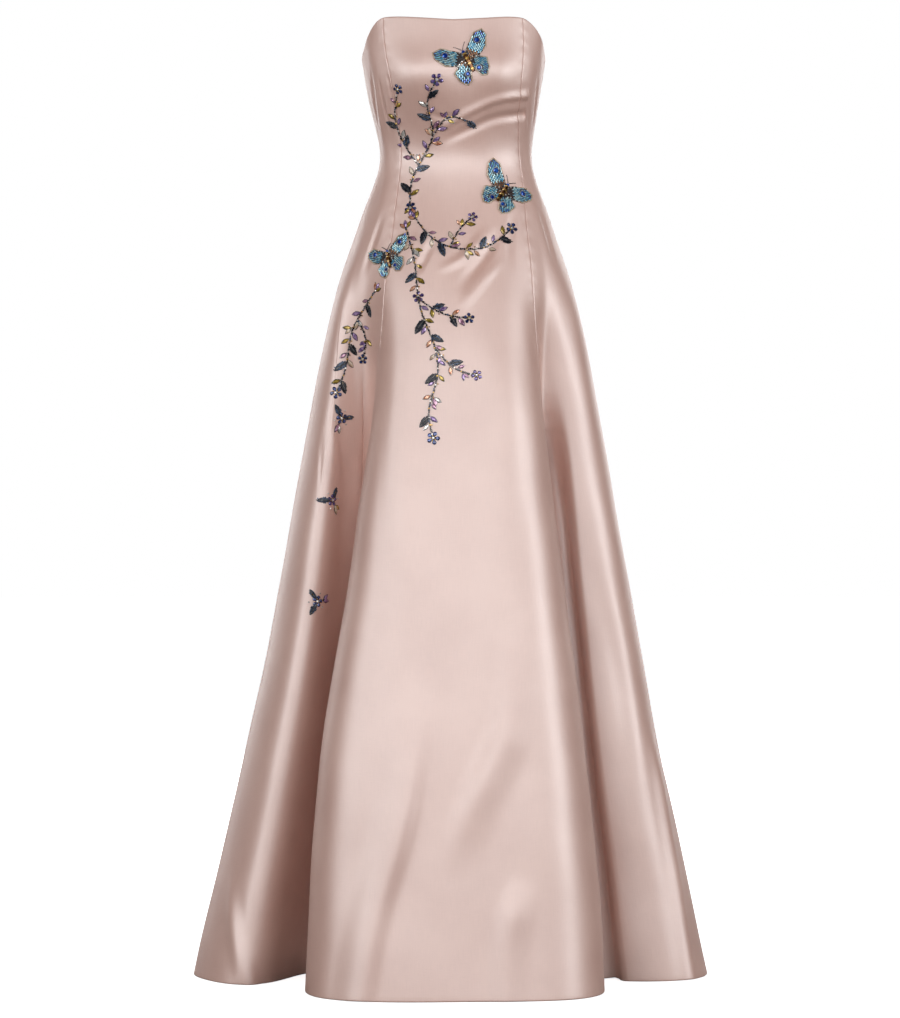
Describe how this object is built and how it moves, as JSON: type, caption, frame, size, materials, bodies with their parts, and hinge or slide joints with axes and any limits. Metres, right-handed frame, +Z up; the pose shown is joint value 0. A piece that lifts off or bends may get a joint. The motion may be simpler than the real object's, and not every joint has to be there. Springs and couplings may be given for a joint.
{
  "type": "strapless corset gown",
  "caption": "Floor-length strapless gown with a fitted seamed bodice, a flared skirt that falls in deep folds, and beaded butterflies and sprays.",
  "frame": {"origin": "middle of the waist, on the gown's upright axis, 1.22 m above the floor that the hem reaches", "axes": "+Z up, -Y out of the front, +X to the wearer's left"},
  "size_m": [0.7767, 0.639, 1.4309],
  "materials": {
    "satin": "heavy satin with a soft sheen",
    "zip_tape": "woven nylon",
    "zip_metal": "enamelled to match the cloth",
    "slate_beads": "faceted dark beads and stones",
    "blue_beads": "iridescent bugle beads"
  },
  "bodies": {
    "gown": {"front_centre": "satin", "front_side_left": "satin", "front_side_right": "satin", "back_side_left": "satin", "back_side_right": "satin", "back_centre_left": "satin", "back_centre_right": "satin", "zip_tape": "zip_tape", "zip_slider": "zip_metal", "spray_bodice": "slate_beads", "spray_hip": "slate_beads", "spray_side": "slate_beads", "spray_skirt": "slate_beads", "blossom_upper": "slate_beads", "blossom_middle": "slate_beads", "blossom_lower": "slate_beads", "butterfly_bust": "blue_beads", "butterfly_waist": "blue_beads", "butterfly_hip": "blue_beads"},
    "pull": {"zip_pull": "zip_metal"}
  },
  "joints": [
    {"name": "pull_swing", "type": "hinge", "parent": "gown", "child": "pull", "pos_m": [0.00003, 0.08955, 0.12551], "axis": [1, 0, 0], "range_deg": [0, 170]}
  ]
}
